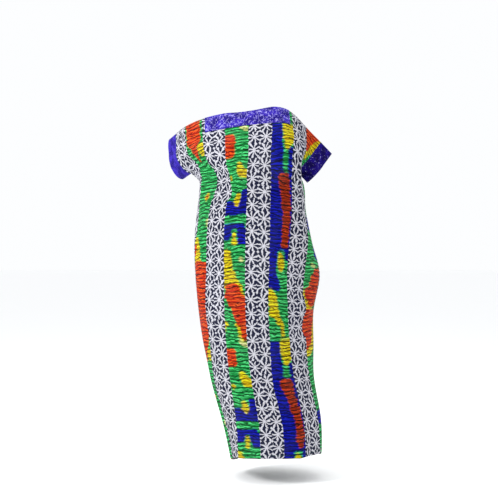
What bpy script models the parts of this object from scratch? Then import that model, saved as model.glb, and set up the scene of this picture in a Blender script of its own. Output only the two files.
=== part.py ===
"""A wax-print kaftan in the pose of its wearer, as hollow cut-and-sewn cloth.

Metres, +Z up. The front faces -Y, the wearer's left is +X, and the origin is the
middle of the neck at shoulder height. Back and front are one cut: a rectangle
twice PANEL_HALF wide and PANEL_LENGTH long, sewn at the shoulders and down the
sides below the armholes. Cloth coordinates run over both panels: u is the distance
from the middle of the cut towards the wearer's left, and v the distance from the
shoulder seam, positive down the back and negative down the front.
"""

import math
from collections import namedtuple

import bpy
import numpy as np

# The flat cut
STRIPE = 0.09
PANEL_HALF = 4 * STRIPE
PANEL_LENGTH = 1.40
ARMHOLE = 0.21
CUFF_DEPTH = 0.065
NECK_HALF = 0.10
NECK_POWER = 2.6
BACK_NECK, FRONT_NECK = 0.020, 0.140
BAND_HALF = 0.167
BACK_BAND, FRONT_BAND = 0.075, 0.200

# The cloth
WALL = 0.0016
BAND_WALL = 0.0014
SEAM_GAP = 0.0003

# The mesh: cells between the named lines of the cut, and the step that measures slopes
CELLS_SLEEVE, CELLS_SHOULDER, CELLS_BAND, CELLS_NECK = 3, 4, 3, 4
CELLS_BELOW_ARMHOLE = 36
BACK_ROWS = (3, 5)
FRONT_ROWS = (7, 1)
CUFF_CELLS = 3
SLOPE_STEP = 0.002

# Where each stripe line lies over the shoulders, from the wearer's right cuff to the
# left one: its place in the cut, its points at the shoulder seam and at armhole depth
# behind and in front, and how far the cloth swells out between them.
Line = namedtuple("Line", "u shoulder back front back_bulge front_bulge")
RIGHT_UNDERARM = (-0.190, -0.037, -0.242)
LEFT_UNDERARM = (0.238, -0.100, -0.246)
SHOULDER_LINES = (
    Line(-0.36, (-0.289, -0.030, -0.125), RIGHT_UNDERARM, RIGHT_UNDERARM, 0.038, 0.042),
    Line(-0.27, (-0.229, -0.015, -0.066), (-0.211, 0.052, -0.247), (-0.188, -0.092, -0.225), 0.023, 0.026),
    Line(-0.18, (-0.168, -0.005, -0.007), (-0.170, 0.100, -0.189), (-0.152, -0.125, -0.177), 0.018, 0.015),
    Line(-0.09, (-0.094, 0.010, 0.011), (-0.085, 0.120, -0.195), (-0.087, -0.135, -0.176), 0.016, 0.010),
    Line(0.00, (0.000, 0.015, 0.000), (0.003, 0.120, -0.200), (-0.004, -0.130, -0.181), 0.016, 0.010),
    Line(0.09, (0.094, 0.010, -0.015), (0.088, 0.108, -0.209), (0.078, -0.135, -0.189), 0.016, 0.010),
    Line(0.18, (0.189, -0.012, -0.035), (0.163, 0.065, -0.217), (0.149, -0.135, -0.201), 0.018, 0.015),
    Line(0.27, (0.257, -0.075, -0.056), (0.204, -0.005, -0.236), (0.186, -0.130, -0.226), 0.030, 0.034),
    Line(0.36, (0.298, -0.145, -0.076), LEFT_UNDERARM, LEFT_UNDERARM, 0.040, 0.050),
)
SHOULDER_ROWS = (1 / 3, 2 / 3)
SWELL_LOW = 1.4

# Which way the sleeves point
LEFT_SLEEVE = (0.53, -0.78, -0.32)
RIGHT_SLEEVE = (-0.70, -0.10, -0.71)

# Level rings of cloth round the figure: v, the height of the middle of the back and of
# the front and of both side seams, the ring's middle and its half width, its depth
# behind and in front, and the angle of each stripe line of the back, seam to seam. The
# angle is 0 at the wearer's left, 90 at the middle of the back and 180 at the right.
Ring = namedtuple("Ring", "v back_z front_z left_z right_z x half_width back_depth front_depth angles")
RINGS = (
    Ring(0.27, -0.259, -0.232, -0.290, -0.304, -0.006, 0.218, 0.130, 0.140,
         (204, 168, 138, 111.5, 86.5, 69, 52, 28, -22)),
    Ring(0.36, -0.347, -0.322, -0.375, -0.387, -0.008, 0.221, 0.140, 0.155,
         (200, 166, 136.5, 110, 85.5, 66, 47.5, 22, -21)),
    Ring(0.50, -0.485, -0.462, -0.508, -0.515, -0.016, 0.236, 0.160, 0.165,
         (192, 157, 127.5, 106, 83, 61.5, 40, 13.5, -19)),
    Ring(0.65, -0.633, -0.612, -0.650, -0.653, -0.032, 0.248, 0.185, 0.170,
         (175, 138, 117.5, 100.5, 79, 59, 36.5, 10, -17)),
    Ring(0.80, -0.780, -0.762, -0.790, -0.790, -0.028, 0.231, 0.195, 0.170,
         (178, 145, 121.5, 101.5, 79.5, 58, 31, 6, -17)),
    Ring(0.95, -0.928, -0.913, -0.934, -0.930, -0.038, 0.220, 0.192, 0.170,
         (180, 147.5, 123, 101.5, 78.5, 55.5, 28.5, 3, -18)),
    Ring(1.10, -1.075, -1.063, -1.084, -1.075, -0.056, 0.206, 0.187, 0.170,
         (184, 154, 126.5, 100.5, 77.5, 52.5, 16.5, -5, -24)),
    Ring(1.25, -1.223, -1.212, -1.248, -1.222, -0.090, 0.198, 0.182, 0.170,
         (186, 156, 128, 101, 74.5, 46, 14, -8, -27)),
    Ring(1.40, -1.362, -1.352, -1.413, -1.362, -0.108, 0.184, 0.178, 0.165,
         (187, 158, 128.5, 99, 70.5, 37, 7.5, -13, -30)),
)

# Folds in the cut's own u and v: where each starts and ends, how far its middle bows
# aside, its half width, and how deep it is at its start, middle and end. A ridge has a
# negative depth.
Fold = namedtuple("Fold", "u0 v0 u1 v1 bow width start middle end")
FOLDS = (
    # drawn from the left armpit across the back
    Fold(0.285, 0.185, 0.085, 0.345, 0.010, 0.034, 0.006, 0.014, 0.000),
    Fold(0.300, 0.270, 0.120, 0.430, 0.010, 0.036, 0.000, -0.008, 0.000),
    Fold(0.285, 0.300, 0.215, 0.560, -0.008, 0.030, 0.000, 0.008, 0.000),
    # the crease where the right sleeve leaves the back
    Fold(-0.255, 0.080, -0.270, 0.330, 0.006, 0.020, 0.000, 0.014, 0.000),
    # crumpled cloth at the right hip
    Fold(-0.335, 0.690, -0.225, 0.775, 0.008, 0.018, 0.000, 0.010, 0.000),
    Fold(-0.330, 0.780, -0.235, 0.830, 0.000, 0.017, 0.000, -0.009, 0.000),
    Fold(-0.330, 0.840, -0.245, 0.885, -0.006, 0.018, 0.000, 0.009, 0.000),
    # long soft flutes down the back
    Fold(0.195, 0.800, 0.165, 1.400, 0.010, 0.036, 0.000, 0.006, 0.011),
    Fold(0.080, 0.950, 0.060, 1.400, 0.006, 0.042, 0.000, -0.004, -0.008),
    Fold(-0.230, 0.950, -0.215, 1.400, 0.000, 0.036, 0.000, 0.005, 0.012),
    Fold(-0.060, 0.700, -0.080, 1.400, 0.008, 0.050, 0.000, 0.004, 0.006),
    # drawn from both armpits down the front
    Fold(0.275, -0.190, 0.060, -0.430, -0.010, 0.026, 0.006, 0.012, 0.000),
    Fold(0.300, -0.260, 0.170, -0.600, 0.000, 0.028, 0.004, 0.011, 0.000),
    Fold(-0.280, -0.200, -0.160, -0.450, 0.008, 0.026, 0.004, 0.010, 0.000),
    # flutes down the front, deepest at the hem
    Fold(0.285, -0.620, 0.270, -1.400, 0.006, 0.034, 0.000, -0.010, -0.018),
    Fold(0.205, -0.560, 0.195, -1.400, 0.000, 0.034, 0.000, 0.012, 0.020),
    Fold(0.125, -0.480, 0.115, -1.400, 0.008, 0.036, 0.000, -0.012, -0.022),
    Fold(0.040, -0.560, 0.030, -1.400, 0.000, 0.036, 0.000, 0.012, 0.022),
    Fold(-0.045, -0.500, -0.055, -1.400, -0.008, 0.036, 0.000, -0.010, -0.020),
    Fold(-0.130, -0.600, -0.140, -1.400, 0.000, 0.034, 0.000, 0.012, 0.020),
    Fold(-0.215, -0.540, -0.215, -1.400, 0.006, 0.034, 0.000, -0.011, -0.020),
    Fold(-0.290, -0.680, -0.285, -1.400, 0.000, 0.030, 0.000, 0.008, 0.014),
)
FOLD_FADE_SIDE = 0.050
FOLD_FADE_SHOULDER = 0.040

# Looks: colour, roughness
WAX_PRINT = ((0.10, 0.42, 0.20, 1.0), 0.72)
BAND_PRINT = ((0.09, 0.06, 0.55, 1.0), 0.70)


def unit(vectors):
    """The same directions with length 1."""
    return vectors / np.linalg.norm(vectors, axis=-1, keepdims=True)


def smooth_step(amount):
    """0 below 0, 1 above 1, and an even slope-free rise between."""
    amount = np.clip(amount, 0.0, 1.0)
    return amount * amount * (3.0 - 2.0 * amount)


def spline_weights(knots, places):
    """How much each knot's value counts at each place on the smooth curve through all knots.

    The curve is a cubic between knots, bends evenly through each and is straight at
    both ends.
    """
    knots = np.asarray(knots, float)
    count = len(knots)
    gaps = np.diff(knots)
    bend_of, change_of = np.eye(count), np.zeros((count, count))
    for k in range(1, count - 1):
        bend_of[k, k - 1 : k + 2] = gaps[k - 1], 2.0 * (gaps[k - 1] + gaps[k]), gaps[k]
        change_of[k, k - 1 : k + 2] = 1 / gaps[k - 1], -1 / gaps[k - 1] - 1 / gaps[k], 1 / gaps[k]
    bends = np.linalg.solve(bend_of, 6.0 * change_of)
    places = np.asarray(places, float)
    low = np.clip(np.searchsorted(knots, places, side="right") - 1, 0, count - 2)
    gap = gaps[low]
    after = (places - knots[low]) / gap
    before = 1.0 - after
    each = np.eye(count)
    weights = before[..., None] * each[low] + after[..., None] * each[low + 1]
    weights += ((before**3 - before) * gap**2 / 6.0)[..., None] * bends[low]
    weights += ((after**3 - after) * gap**2 / 6.0)[..., None] * bends[low + 1]
    return weights


def shoulder_rows(side):
    """Rows of points from the shoulder seam to armhole depth, down the back (1) or the front (-1).

    Each line runs straight between its two points and swells out square to the
    cloth, by its bulge times a half sine that is fullest below the middle.
    """
    top = np.array([line.shoulder for line in SHOULDER_LINES])
    low = np.array([line.back if side > 0 else line.front for line in SHOULDER_LINES])
    bulge = np.array([line.back_bulge if side > 0 else line.front_bulge for line in SHOULDER_LINES])
    outward = side * unit(np.cross(np.gradient(top, axis=0), low - top))
    rows = {}
    for share in SHOULDER_ROWS + (1.0,):
        swell = (bulge * math.sin(math.pi * share**SWELL_LOW))[:, None] * outward
        rows[side * ARMHOLE * share] = top + (low - top) * share + swell
    return rows


def ring_row(ring, side):
    """One ring's points at the nine stripe lines, and one line past each seam, of the back or the front."""
    u = np.array([line.u for line in SHOULDER_LINES])
    back_angles = np.radians(ring.angles)
    right, left = back_angles[0], back_angles[-1]
    front_angles = np.linspace(right, left + 2 * math.pi, len(u))
    here, there = (back_angles, front_angles) if side > 0 else (front_angles, back_angles)
    past_right, past_left = there[1], there[-2]
    angles = np.concatenate([[past_right], here, [past_left]])
    u = np.concatenate([[u[0] - STRIPE], u, [u[-1] + STRIPE]])
    share = smooth_step(np.abs(u) / PANEL_HALF)
    middle = ring.back_z if side > 0 else ring.front_z
    seam = np.where(u > 0, ring.left_z, ring.right_z)
    depth = np.where(np.sin(angles) > 0, ring.back_depth, ring.front_depth)
    return np.stack(
        [
            ring.x + ring.half_width * np.cos(angles),
            depth * np.sin(angles),
            middle + (seam - middle) * share,
        ],
        axis=-1,
    )


def cloth_net():
    """The net that the garment hangs from: its rows' v, its columns' u and its points."""
    rows = {0.0: np.array([line.shoulder for line in SHOULDER_LINES])}
    for side in (1, -1):
        rows.update(shoulder_rows(side))
    net = {}
    for v, points in rows.items():
        past_right = points[0] + STRIPE * unit(np.array(RIGHT_SLEEVE))
        past_left = points[-1] + STRIPE * unit(np.array(LEFT_SLEEVE))
        net[v] = np.vstack([past_right, points, past_left])
    for side in (1, -1):
        for ring in RINGS:
            net[side * ring.v] = ring_row(ring, side)
    lengths = sorted(net)
    columns = [line.u for line in SHOULDER_LINES]
    columns = [columns[0] - STRIPE] + columns + [columns[-1] + STRIPE]
    return np.array(lengths), np.array(columns), np.array([net[v] for v in lengths])


NET_V, NET_U, NET = cloth_net()


def net_point(u, v):
    """The smooth sheet through every point of the net."""
    across = spline_weights(NET_U, u)
    along = spline_weights(NET_V, v)
    return np.einsum("...r,...c,rcx->...x", along, across, NET, optimize=True)


def armhole_point(hand, v):
    """The armhole at the wearer's left (1) or right (-1): one smooth loop over the shoulder and under the arm."""
    edge = NET[:, -2 if hand > 0 else 1]
    loop = np.abs(NET_V) < ARMHOLE + SLOPE_STEP
    loop_v, loop_points = NET_V[loop][:-1], edge[loop][:-1]
    turns = np.concatenate([loop_v - 2 * ARMHOLE, loop_v, loop_v + 2 * ARMHOLE])
    return spline_weights(turns, v) @ np.tile(loop_points, (3, 1))


def edge_point(hand, v):
    """Both panels' own edge: the armhole, and below it one smooth side seam from the underarm to the hem."""
    edge = NET[:, -2 if hand > 0 else 1]
    seam = NET_V > ARMHOLE - SLOPE_STEP
    side = spline_weights(NET_V[seam], np.abs(v)) @ edge[seam]
    return np.where((np.abs(v) < ARMHOLE)[..., None], armhole_point(hand, v), side)


def smooth_cloth(u, v):
    """The unfolded garment's outer face: the net's sheet, its last stripe each side drawn onto the edge."""
    points = net_point(u, v)
    for hand in (1, -1):
        nearness = smooth_step(1.0 - (PANEL_HALF - hand * u) / STRIPE)
        pull = edge_point(hand, v) - net_point(np.full_like(u, hand * PANEL_HALF), v)
        points = points + nearness[..., None] * pull
    return points


def outward(surface, u, v):
    """The outward direction of a surface of u and v: its slope in u crossed with its slope in v."""
    step = SLOPE_STEP
    slope_u = surface(u + step, v) - surface(u - step, v)
    slope_v = surface(u, v + step) - surface(u, v - step)
    return unit(np.cross(slope_u, slope_v))


def fold_height(u, v):
    """How far the folds lift the cloth: each is a bell across its bowed line, fading out at the seams."""
    height = np.zeros(np.broadcast(u, v).shape)
    for fold in FOLDS:
        run = np.array([fold.u1 - fold.u0, fold.v1 - fold.v0])
        length = np.linalg.norm(run)
        run = run / length
        along = ((u - fold.u0) * run[0] + (v - fold.v0) * run[1]) / length
        inside = np.clip(along, 0.0, 1.0)
        aside = (v - fold.v0) * run[0] - (u - fold.u0) * run[1] - fold.bow * np.sin(math.pi * inside)
        past = (along - inside) * length
        depth = np.interp(inside, (0.0, 0.5, 1.0), (fold.start, fold.middle, fold.end))
        height = height - depth * np.exp(-(aside**2 + past**2) / fold.width**2)
    height = height * smooth_step((PANEL_HALF - np.abs(u)) / FOLD_FADE_SIDE)
    return height * smooth_step(np.abs(v) / FOLD_FADE_SHOULDER)


def cloth(u, v):
    """The garment's outer face: the smooth cloth, moved out by its folds."""
    return smooth_cloth(u, v) + fold_height(u, v)[..., None] * outward(smooth_cloth, u, v)


def tube_outward(hand, v):
    """The outward direction of a tube carried straight out from an armhole along its sleeve."""
    sleeve = unit(np.array(LEFT_SLEEVE if hand > 0 else RIGHT_SLEEVE))
    run = armhole_point(hand, v + SLOPE_STEP) - armhole_point(hand, v - SLOPE_STEP)
    return unit(np.cross(hand * sleeve, run))


def edge_outward(hand, v):
    """The outward direction that panel and cuff share at the armhole: midway between theirs.

    Under the arm, where the armhole's two ends meet, both panels count.
    """
    u = np.full_like(v, hand * PANEL_HALF)
    panel = outward(cloth, u, v)
    ends = (np.abs(v) > ARMHOLE - SLOPE_STEP)[..., None]
    panel = unit(np.where(ends, panel + outward(cloth, u, -v), panel))
    return unit(panel + tube_outward(hand, v))


def columns_of_cut():
    """The mesh's lines down a panel, from the wearer's right side to the left."""
    half = np.concatenate(
        [
            np.linspace(0.0, NECK_HALF, CELLS_NECK + 1),
            np.linspace(NECK_HALF, BAND_HALF, CELLS_BAND + 1)[1:],
            np.linspace(BAND_HALF, 3 * STRIPE, CELLS_SHOULDER + 1)[1:],
            np.linspace(3 * STRIPE, PANEL_HALF, CELLS_SLEEVE + 1)[1:],
        ]
    )
    return np.concatenate([-half[:0:-1], half])


def panel_places(neck_drop, band_drop, row_cells):
    """The mesh's u and v over one panel, v from the neck and shoulder edge down to the hem."""
    u = columns_of_cut()
    neck = neck_drop * np.maximum(0.0, 1.0 - np.abs(u / NECK_HALF) ** NECK_POWER)
    band_share = np.linspace(0.0, 1.0, row_cells[0] + 1)[:, None]
    band_rows = neck + (band_drop - neck) * band_share
    yoke_rows = np.linspace(band_drop, ARMHOLE, row_cells[1] + 1)[1:, None] + 0 * u
    body_rows = np.linspace(ARMHOLE, PANEL_LENGTH, CELLS_BELOW_ARMHOLE + 1)[1:, None] + 0 * u
    v = np.vstack([band_rows, yoke_rows, body_rows])
    return u + 0 * v, v


def panel_faces(u, v, side):
    """A panel's outer points and outward directions, with rows from the shoulder to the hem.

    Both side seams take the mean of the two panels' directions, so that the walls
    meet edge to edge, and every sewn edge is drawn back by half the seam gap.
    """
    points = cloth(u, side * v)
    normals = outward(cloth, u, side * v)
    seam = v[:, 0] > ARMHOLE - SLOPE_STEP
    armhole = v[:, 0] < ARMHOLE + SLOPE_STEP
    for edge, inner, hand in ((0, 1, -1), (-1, -2, 1)):
        other = outward(cloth, u[seam, edge], -side * v[seam, edge])
        normals[seam, edge] = unit(normals[seam, edge] + other)
        normals[armhole, edge] = edge_outward(hand, side * v[armhole, edge])
        back_in = points[seam, inner] - points[seam, edge]
        points[seam, edge] += unit(back_in) * SEAM_GAP / 2
    shoulder = np.abs(u[0]) > NECK_HALF - SLOPE_STEP / 2
    down = points[1, shoulder] - points[0, shoulder]
    points[0, shoulder] += unit(down) * SEAM_GAP / 2
    return points, normals


def wall_mesh(name, outer, inner, look, turned=False, ring=False):
    """A closed wall between two grids of points, made an object with its own material.

    The grids' rows and columns are shared, so every outer face has its inner face
    straight behind it. A ring's last row joins its first.
    """
    rows, columns = outer.shape[:2]
    index = np.arange(rows * columns).reshape(rows, columns)
    if ring:
        index = np.vstack([index, index[:1]])
    a, b, c, d = index[:-1, :-1], index[:-1, 1:], index[1:, 1:], index[1:, :-1]
    skin = np.concatenate([np.stack(t, axis=-1).reshape(-1, 3) for t in ((a, b, c), (a, c, d))])
    edges = [
        np.stack([index[1:, 0], index[:-1, 0]], axis=-1),
        np.stack([index[:-1, -1], index[1:, -1]], axis=-1),
    ]
    if not ring:
        edges.append(np.stack([index[0, :-1], index[0, 1:]], axis=-1))
        edges.append(np.stack([index[-1, 1:], index[-1, :-1]], axis=-1))
    p, q = np.concatenate(edges).T
    behind = rows * columns
    rim = np.concatenate([np.stack([q, p, p + behind], -1), np.stack([q, p + behind, q + behind], -1)])
    triangles = np.concatenate([skin, skin[:, ::-1] + behind, rim])
    if turned:
        triangles = triangles[:, ::-1]
    points = np.concatenate([outer.reshape(-1, 3), inner.reshape(-1, 3)])
    mesh = bpy.data.meshes.new(name)
    mesh.from_pydata(points.tolist(), [], triangles.tolist())
    mesh.update()
    mesh.shade_smooth()
    mesh.set_sharp_from_angle(angle=math.radians(60))
    mesh.materials.append(look)
    piece = bpy.data.objects.new(name, mesh)
    bpy.context.scene.collection.objects.link(piece)
    return piece


def material(name, colour, roughness):
    """A plain Principled material."""
    look = bpy.data.materials.new(name)
    look.use_nodes = True
    shader = look.node_tree.nodes["Principled BSDF"]
    shader.inputs["Base Color"].default_value = colour
    shader.inputs["Roughness"].default_value = roughness
    shader.inputs["Metallic"].default_value = 0.0
    return look


def panel_and_band(side, neck_drop, band_drop, row_cells, names, looks):
    """One panel of the cut, and the neck band that is sewn on it, made from the panel's own points."""
    u, v = panel_places(neck_drop, band_drop, row_cells)
    points, normals = panel_faces(u, v, side)
    turned = side < 0
    wall_mesh(names[0], points, points - WALL * normals, looks[0], turned)
    under = np.abs(u[0]) < BAND_HALF + SLOPE_STEP
    rows = slice(0, row_cells[0] + 1)
    base, out = points[rows][:, under], normals[rows][:, under]
    wall_mesh(names[1], base + (SEAM_GAP + BAND_WALL) * out, base + SEAM_GAP * out, looks[1], turned)


def cuff(name, hand, sleeve, look):
    """A straight tube of cloth sewn to an armhole: the armhole's own edge, carried along the sleeve."""
    back = np.concatenate(
        [
            np.linspace(0.0, BACK_BAND, BACK_ROWS[0] + 1),
            np.linspace(BACK_BAND, ARMHOLE, BACK_ROWS[1] + 1)[1:],
        ]
    )
    front = np.concatenate(
        [
            np.linspace(0.0, FRONT_BAND, FRONT_ROWS[0] + 1),
            np.linspace(FRONT_BAND, ARMHOLE, FRONT_ROWS[1] + 1)[1:],
        ]
    )
    v = np.concatenate([-front[:0:-1], back[:-1]])
    reach = np.linspace(SEAM_GAP, CUFF_DEPTH, CUFF_CELLS + 1)[None, :, None]
    outer = armhole_point(hand, v)[:, None] + reach * unit(np.array(sleeve))
    out = np.repeat(tube_outward(hand, v)[:, None], CUFF_CELLS + 1, axis=1)
    out[:, 0] = edge_outward(hand, v)
    inner = outer - WALL * out
    if hand < 0:
        outer, inner = outer[:, ::-1], inner[:, ::-1]
    wall_mesh(name, outer, inner, look, ring=True)


def main():
    for thing in list(bpy.data.objects):
        bpy.data.objects.remove(thing)
    print_look = material("wax print", *WAX_PRINT)
    looks = (print_look, material("band print", *BAND_PRINT))
    panel_and_band(1, BACK_NECK, BACK_BAND, BACK_ROWS, ("back_panel", "neck_band_back"), looks)
    panel_and_band(-1, FRONT_NECK, FRONT_BAND, FRONT_ROWS, ("front_panel", "neck_band_front"), looks)
    cuff("cuff_left", 1, LEFT_SLEEVE, looks[1])
    cuff("cuff_right", -1, RIGHT_SLEEVE, looks[1])


main()
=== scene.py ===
"""The looks of a worn wax-print kaftan: its cloth, print, sewing and studio.

Metres, +Z up. The front faces -Y and the wearer's left is +X. Cloth coordinates run
over both panels: u is the distance from the middle of the cut towards the wearer's
left, and v the distance from the shoulder seam, positive down the back and negative
down the front. Every sheet is a surface worked out from u and v, and the print is laid
on by the same two numbers, so that it follows the cloth.
"""

import math
from collections import namedtuple

import bpy
import numpy as np
from bpy.props import FloatProperty, FloatVectorProperty, IntProperty, PointerProperty
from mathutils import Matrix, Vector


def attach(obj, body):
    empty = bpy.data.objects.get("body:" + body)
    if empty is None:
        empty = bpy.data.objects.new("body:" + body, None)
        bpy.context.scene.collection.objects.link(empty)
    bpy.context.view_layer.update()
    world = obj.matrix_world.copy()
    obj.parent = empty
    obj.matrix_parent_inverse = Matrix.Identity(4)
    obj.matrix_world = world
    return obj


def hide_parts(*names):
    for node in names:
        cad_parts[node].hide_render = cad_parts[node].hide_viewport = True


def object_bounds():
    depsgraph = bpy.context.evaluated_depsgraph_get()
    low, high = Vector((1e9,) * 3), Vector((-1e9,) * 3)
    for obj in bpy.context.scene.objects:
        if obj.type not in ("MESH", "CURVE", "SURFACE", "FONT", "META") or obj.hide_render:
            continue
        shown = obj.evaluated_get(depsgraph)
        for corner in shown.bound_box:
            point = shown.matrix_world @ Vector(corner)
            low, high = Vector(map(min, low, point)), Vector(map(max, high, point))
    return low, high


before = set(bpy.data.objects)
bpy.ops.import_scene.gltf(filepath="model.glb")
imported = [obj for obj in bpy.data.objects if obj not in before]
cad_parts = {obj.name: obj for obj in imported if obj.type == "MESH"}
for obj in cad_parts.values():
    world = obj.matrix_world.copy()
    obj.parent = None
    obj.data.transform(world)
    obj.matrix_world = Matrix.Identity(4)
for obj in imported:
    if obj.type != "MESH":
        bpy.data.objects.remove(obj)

bl_info = {
    "name": "Worn wax-print kaftan",
    "version": (1, 0, 0),
    "blender": (4, 5, 0),
    "location": "3D View > Sidebar > Kaftan",
    "description": "The cloth, print, sewing and studio of a worn wax-print kaftan",
    "category": "Add Mesh",
}

CAD_LOW, CAD_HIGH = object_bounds()

# The flat cut
STRIPE = 0.09
PANEL_HALF = 4 * STRIPE
PANEL_LENGTH = 1.40
ARMHOLE = 0.21
CUFF_DEPTH = 0.065
NECK_HALF = 0.10
NECK_POWER = 2.6
BAND_HALF = 0.167
# Each panel's name, which way it faces, and how deep its neck is cut and its band reaches
SIDES = (("back", 1, 0.020, 0.075), ("front", -1, 0.140, 0.200))
HANDS = (("left", 1), ("right", -1))

# Slopes are measured over this step, and nearer places count as one
SLOPE_STEP = 0.002
# Edges steeper than this are shaded sharp
SHARP_ANGLE = math.radians(60)

# Where each stripe line lies over the shoulders, from the wearer's right cuff to the
# left one: its place in the cut, its points at the shoulder seam and at armhole depth
# behind and in front, and how far the cloth swells out between them.
Line = namedtuple("Line", "u shoulder back front back_bulge front_bulge")
RIGHT_UNDERARM = (-0.190, -0.037, -0.242)
LEFT_UNDERARM = (0.238, -0.100, -0.246)
SHOULDER_LINES = (
    Line(-0.36, (-0.289, -0.030, -0.125), RIGHT_UNDERARM, RIGHT_UNDERARM, 0.038, 0.042),
    Line(-0.27, (-0.229, -0.015, -0.066), (-0.211, 0.052, -0.247), (-0.188, -0.092, -0.225), 0.023, 0.026),
    Line(-0.18, (-0.168, -0.005, -0.007), (-0.170, 0.100, -0.189), (-0.152, -0.125, -0.177), 0.018, 0.015),
    Line(-0.09, (-0.094, 0.010, 0.011), (-0.085, 0.120, -0.195), (-0.087, -0.135, -0.176), 0.016, 0.010),
    Line(0.00, (0.000, 0.015, 0.000), (0.003, 0.120, -0.200), (-0.004, -0.130, -0.181), 0.016, 0.010),
    Line(0.09, (0.094, 0.010, -0.015), (0.088, 0.108, -0.209), (0.078, -0.135, -0.189), 0.016, 0.010),
    Line(0.18, (0.189, -0.012, -0.035), (0.163, 0.065, -0.217), (0.149, -0.135, -0.201), 0.018, 0.015),
    Line(0.27, (0.257, -0.075, -0.056), (0.204, -0.005, -0.236), (0.186, -0.130, -0.226), 0.030, 0.034),
    Line(0.36, (0.298, -0.145, -0.076), LEFT_UNDERARM, LEFT_UNDERARM, 0.040, 0.050),
)
SHOULDER_ROWS = (1 / 3, 2 / 3)
SWELL_LOW = 1.4

# Level rings of cloth round the figure: v, the height of the middle of the back and of
# the front and of both side seams, the ring's middle and its half width, its depth
# behind and in front, and the angle of each stripe line of the back, seam to seam.
Ring = namedtuple("Ring", "v back_z front_z left_z right_z x half_width back_depth front_depth angles")
RINGS = (
    Ring(0.27, -0.259, -0.232, -0.290, -0.304, -0.006, 0.218, 0.130, 0.140,
         (204, 168, 138, 111.5, 86.5, 69, 52, 28, -22)),
    Ring(0.36, -0.347, -0.322, -0.375, -0.387, -0.008, 0.221, 0.140, 0.155,
         (200, 166, 136.5, 110, 85.5, 66, 47.5, 22, -21)),
    Ring(0.50, -0.485, -0.462, -0.508, -0.515, -0.016, 0.236, 0.160, 0.165,
         (192, 157, 127.5, 106, 83, 61.5, 40, 13.5, -19)),
    Ring(0.65, -0.633, -0.612, -0.650, -0.653, -0.032, 0.248, 0.185, 0.170,
         (175, 138, 117.5, 100.5, 79, 59, 36.5, 10, -17)),
    Ring(0.80, -0.780, -0.762, -0.790, -0.790, -0.028, 0.231, 0.195, 0.170,
         (178, 145, 121.5, 101.5, 79.5, 58, 31, 6, -17)),
    Ring(0.95, -0.928, -0.913, -0.934, -0.930, -0.038, 0.220, 0.192, 0.170,
         (180, 147.5, 123, 101.5, 78.5, 55.5, 28.5, 3, -18)),
    Ring(1.10, -1.075, -1.063, -1.084, -1.075, -0.056, 0.206, 0.187, 0.170,
         (184, 154, 126.5, 100.5, 77.5, 52.5, 16.5, -5, -24)),
    Ring(1.25, -1.223, -1.212, -1.248, -1.222, -0.090, 0.198, 0.182, 0.170,
         (186, 156, 128, 101, 74.5, 46, 14, -8, -27)),
    Ring(1.40, -1.362, -1.352, -1.413, -1.362, -0.108, 0.184, 0.178, 0.165,
         (187, 158, 128.5, 99, 70.5, 37, 7.5, -13, -30)),
)


def in_metres(kind, *rows):
    """Rows of one kind in metres, from rows of millimetres."""
    return tuple(kind(*(number / 1000 for number in row)) for row in rows)


# Folds in the cut's own u and v: where each starts and ends, how far its middle bows
# aside, its half width, and how deep it is at its start, middle and end. A ridge has a
# negative depth. These are the solids' own folds, in millimetres.
Fold = namedtuple("Fold", "u0 v0 u1 v1 bow width start middle end")
FOLDS = in_metres(
    Fold,
    (285, 185, 85, 345, 10, 34, 6, 14, 0),
    (300, 270, 120, 430, 10, 36, 0, -8, 0),
    (285, 300, 215, 560, -8, 30, 0, 8, 0),
    (-255, 80, -270, 330, 6, 20, 0, 14, 0),
    (-335, 690, -225, 775, 8, 18, 0, 10, 0),
    (-330, 780, -235, 830, 0, 17, 0, -9, 0),
    (-330, 840, -245, 885, -6, 18, 0, 9, 0),
    (195, 800, 165, 1400, 10, 36, 0, 6, 11),
    (80, 950, 60, 1400, 6, 42, 0, -4, -8),
    (-230, 950, -215, 1400, 0, 36, 0, 5, 12),
    (-60, 700, -80, 1400, 8, 50, 0, 4, 6),
    (275, -190, 60, -430, -10, 26, 6, 12, 0),
    (300, -260, 170, -600, 0, 28, 4, 11, 0),
    (-280, -200, -160, -450, 8, 26, 4, 10, 0),
    (285, -620, 270, -1400, 6, 34, 0, -10, -18),
    (205, -560, 195, -1400, 0, 34, 0, 12, 20),
    (125, -480, 115, -1400, 8, 36, 0, -12, -22),
    (40, -560, 30, -1400, 0, 36, 0, 12, 22),
    (-45, -500, -55, -1400, -8, 36, 0, -10, -20),
    (-130, -600, -140, -1400, 0, 34, 0, 12, 20),
    (-215, -540, -215, -1400, 6, 34, 0, -11, -20),
    (-290, -680, -285, -1400, 0, 30, 0, 8, 14),
)
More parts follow.
